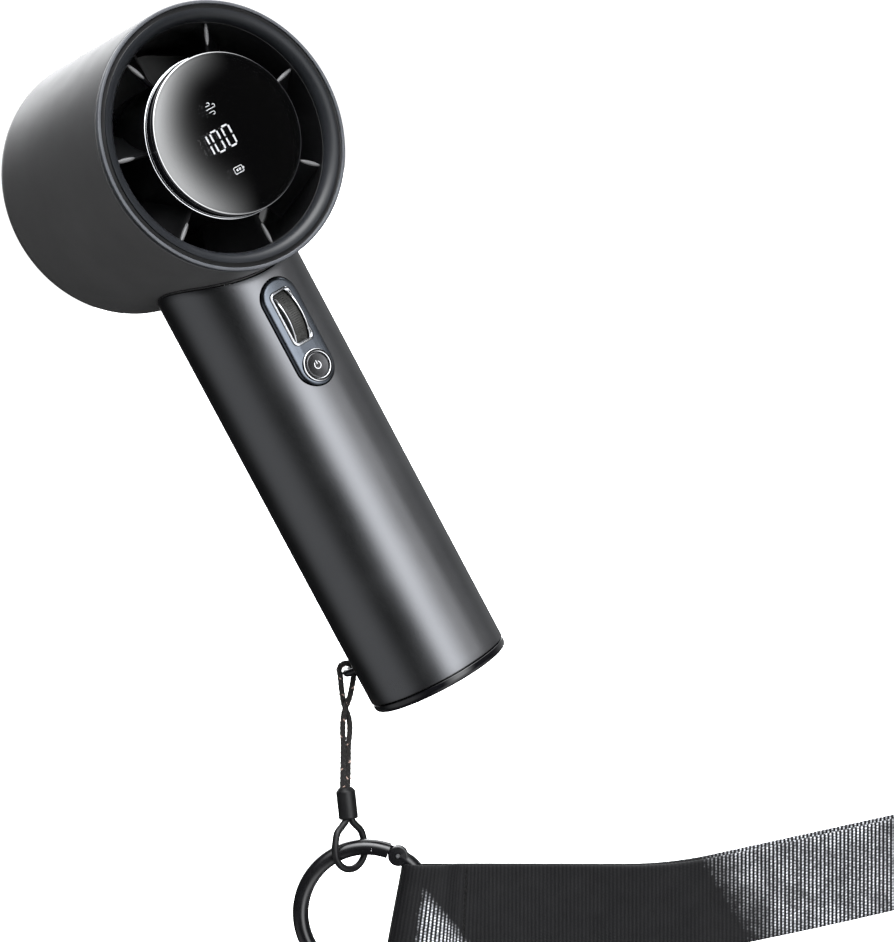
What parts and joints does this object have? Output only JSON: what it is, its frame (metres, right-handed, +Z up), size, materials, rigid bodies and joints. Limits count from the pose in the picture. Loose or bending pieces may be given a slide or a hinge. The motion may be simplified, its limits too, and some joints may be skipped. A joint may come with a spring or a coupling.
{
  "type": "handheld electric fan",
  "caption": "Handheld ducted fan with a round head, guide vanes, display, thumb wheel, power button, rechargeable handle, and a cord, ring and woven wrist strap.",
  "frame": {"origin": "centre of the flat base pad's lower face", "axes": "+Z up the handle's axis, -Y the way the air leaves (the display side), +X to the right when looking along +Y at the display"},
  "size_m": [0.1478, 0.0985, 0.306],
  "materials": {
    "barrel": "matte, soft-touch",
    "duct": "matte black",
    "gloss": "piano black",
    "lens": "polished, smoked",
    "chrome": "polished",
    "gunmetal": "satin metallic",
    "panel": "satin metallic, bluish",
    "rubber": "matte",
    "steel": "brushed",
    "copper": "enamelled wire",
    "board": "solder mask",
    "cell": "shrink wrap",
    "webbing": "woven, ribbed",
    "cord": "braided",
    "black_metal": "gloss black",
    "magnet": "nickel coated"
  },
  "bodies": {
    "fan_body": {"head_barrel": "barrel", "front_bezel": "barrel", "guide_vane_frame": "duct", "rear_grille": "duct", "display_base_ring": "chrome", "display_housing": "gloss", "display_board": "board", "display_light_guide": "gloss", "display_lens": "lens", "stator_core": "steel", "motor_windings": "copper", "front_bearing": "steel", "rear_bearing": "steel", "neck_seal": "rubber", "neck_bracket": "black_metal", "neck_screw_left": "steel", "neck_screw_right": "steel", "handle_tube": "gunmetal", "chassis_front": "duct", "chassis_rear": "duct", "battery_cell": "cell", "battery_tab_top": "steel", "battery_tab_bottom": "steel", "main_board": "board", "usb_c_port": "steel", "control_panel": "panel", "window_trim": "chrome", "button_ring": "chrome", "tact_switch": "steel", "control_board": "board", "speed_encoder": "duct", "wheel_support": "duct", "base_cap": "gloss", "base_pad": "rubber", "base_screw_left": "steel", "base_screw_right": "steel", "motor_cable": "rubber", "display_cable": "rubber", "lanyard_anchor": "black_metal"},
    "impeller_unit": {"impeller": "duct", "impeller_nut": "steel", "rotor_can": "steel", "magnet_ring": "magnet", "motor_shaft": "steel"},
    "wheel_unit": {"speed_wheel": "rubber", "wheel_rim_left": "chrome", "wheel_rim_right": "chrome", "wheel_axle": "steel"},
    "button_unit": {"power_button": "panel", "switch_plunger": "duct"},
    "cord_unit": {"lanyard_cord": "cord", "cord_crimp": "rubber", "ring_loop": "rubber"},
    "ring_unit": {"lanyard_ring": "black_metal", "gate_pin": "steel"},
    "gate_unit": {"ring_gate": "black_metal"},
    "strap_unit": {"wrist_strap": "webbing"}
  },
  "joints": [
    {"name": "impeller_spin", "type": "hinge", "parent": "fan_body", "child": "impeller_unit", "pos_m": [0, 0, 0.154], "axis": [0, -1, 0], "continuous": true},
    {"name": "wheel_spin", "type": "hinge", "parent": "fan_body", "child": "wheel_unit", "pos_m": [0, -0.0112, 0.1048], "axis": [1, 0, 0], "continuous": true},
    {"name": "button_press", "type": "slide", "parent": "fan_body", "child": "button_unit", "axis": [0, 1, 0], "range_m": [0, 0.0004], "stiffness_N_per_m": 3000, "springref_m": -0.0003},
    {"name": "cord_swing", "type": "hinge", "parent": "fan_body", "child": "cord_unit", "pos_m": [-0.01359, 0.01941, 0.012], "axis": [0.8192, 0.5736, 0], "range_deg": [-20, 90]},
    {"name": "ring_swing", "type": "hinge", "parent": "cord_unit", "child": "ring_unit", "pos_m": [-0.03473, 0.02609, -0.03006], "axis": [0.8184, -0.5252, -0.2334], "range_deg": [-30, 30]},
    {"name": "gate_open", "type": "hinge", "parent": "ring_unit", "child": "gate_unit", "pos_m": [-0.02616, 0.01988, -0.03746], "axis": [-0.5112, -0.8508, 0.1219], "range_deg": [0, 25], "stiffness_Nm_per_rad": 0.02, "springref_deg": -10.03},
    {"name": "strap_swing", "type": "hinge", "parent": "ring_unit", "child": "strap_unit", "pos_m": [-0.02841, 0.01887, -0.05391], "axis": [0.4566, -0.1487, 0.8772], "range_deg": [-25, 25]}
  ]
}
